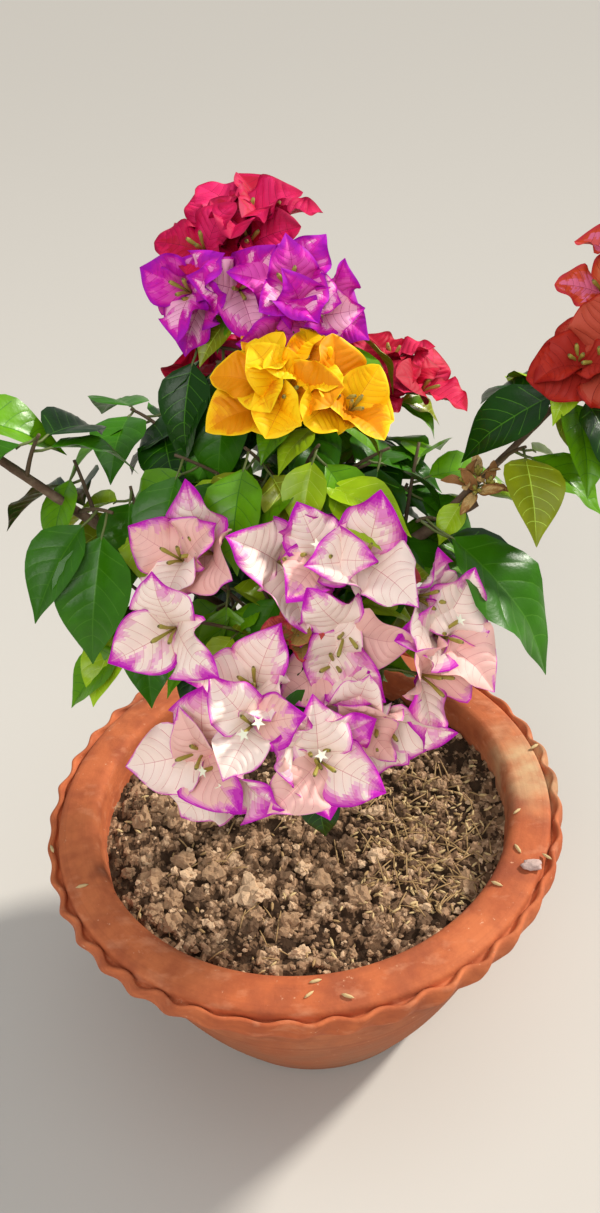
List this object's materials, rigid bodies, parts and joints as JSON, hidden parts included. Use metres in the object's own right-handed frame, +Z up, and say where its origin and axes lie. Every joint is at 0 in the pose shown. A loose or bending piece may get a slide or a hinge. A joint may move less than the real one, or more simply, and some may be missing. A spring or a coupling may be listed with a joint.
{
  "type": "potted bougainvillea bush",
  "caption": "Young grafted bougainvillea bush with blossom of several colours, standing in a wide clay pot with a crimped lip.",
  "frame": {"origin": "centre of the pot's flat underside", "axes": "+Z up, out of the pot's mouth; +X to the viewer's right and +Y away from the viewer, as the picture shows the plant; the right bough leans towards +X"},
  "size_m": [0.4777, 0.34, 0.5378],
  "materials": {
    "terracotta": "matte",
    "soil": "matte",
    "bark": "matte",
    "leaf": "satin",
    "leaf_young": "satin",
    "bract_pink": "matte",
    "bract_purple": "matte",
    "bract_magenta": "matte",
    "bract_yellow": "matte",
    "bract_red": "matte",
    "bract_flame": "matte"
  },
  "bodies": {
    "root": {"pot": "terracotta", "soil": "soil", "trunk": "bark", "leader": "bark", "bough_left": "bark", "bough_right": "bark", "shoot_right": "bark", "bough_back": "bark", "bough_rear": "bark", "bough_front": "bark", "bough_low": "bark", "blossom_magenta": "bract_magenta", "blossom_purple_left": "bract_purple", "blossom_purple_right": "bract_purple", "blossom_yellow": "bract_yellow", "blossom_red_left": "bract_red", "blossom_red_right": "bract_red", "blossom_flame_low": "bract_flame", "blossom_flame": "bract_flame", "blossom_pink_top": "bract_pink", "blossom_pink_left": "bract_pink", "blossom_pink_right": "bract_pink", "blossom_pink_outer": "bract_pink", "blossom_pink_low": "bract_pink", "blossom_rear": "bract_magenta", "leaves_upper_left": "leaf", "leaves_upper_right": "leaf_young", "leaves_centre_left": "leaf_young", "leaves_centre": "leaf_young", "leaves_centre_right": "leaf", "leaves_right_upper": "leaf", "leaf_right_big": "leaf", "leaves_shoot": "leaf_young", "leaves_shoot_tip": "leaf", "leaves_left_tip": "leaf", "leaves_left_upper": "leaf", "leaf_left_big": "leaf", "leaves_left_inner": "leaf_young", "leaves_low_left": "leaf", "leaves_inner_left": "leaf", "leaves_inner_right": "leaf", "leaves_right_rear": "leaf", "leaves_front": "leaf", "leaves_rear": "leaf", "leaves_back": "leaf", "leaves_back_low": "leaf"}
  },
  "joints": []
}
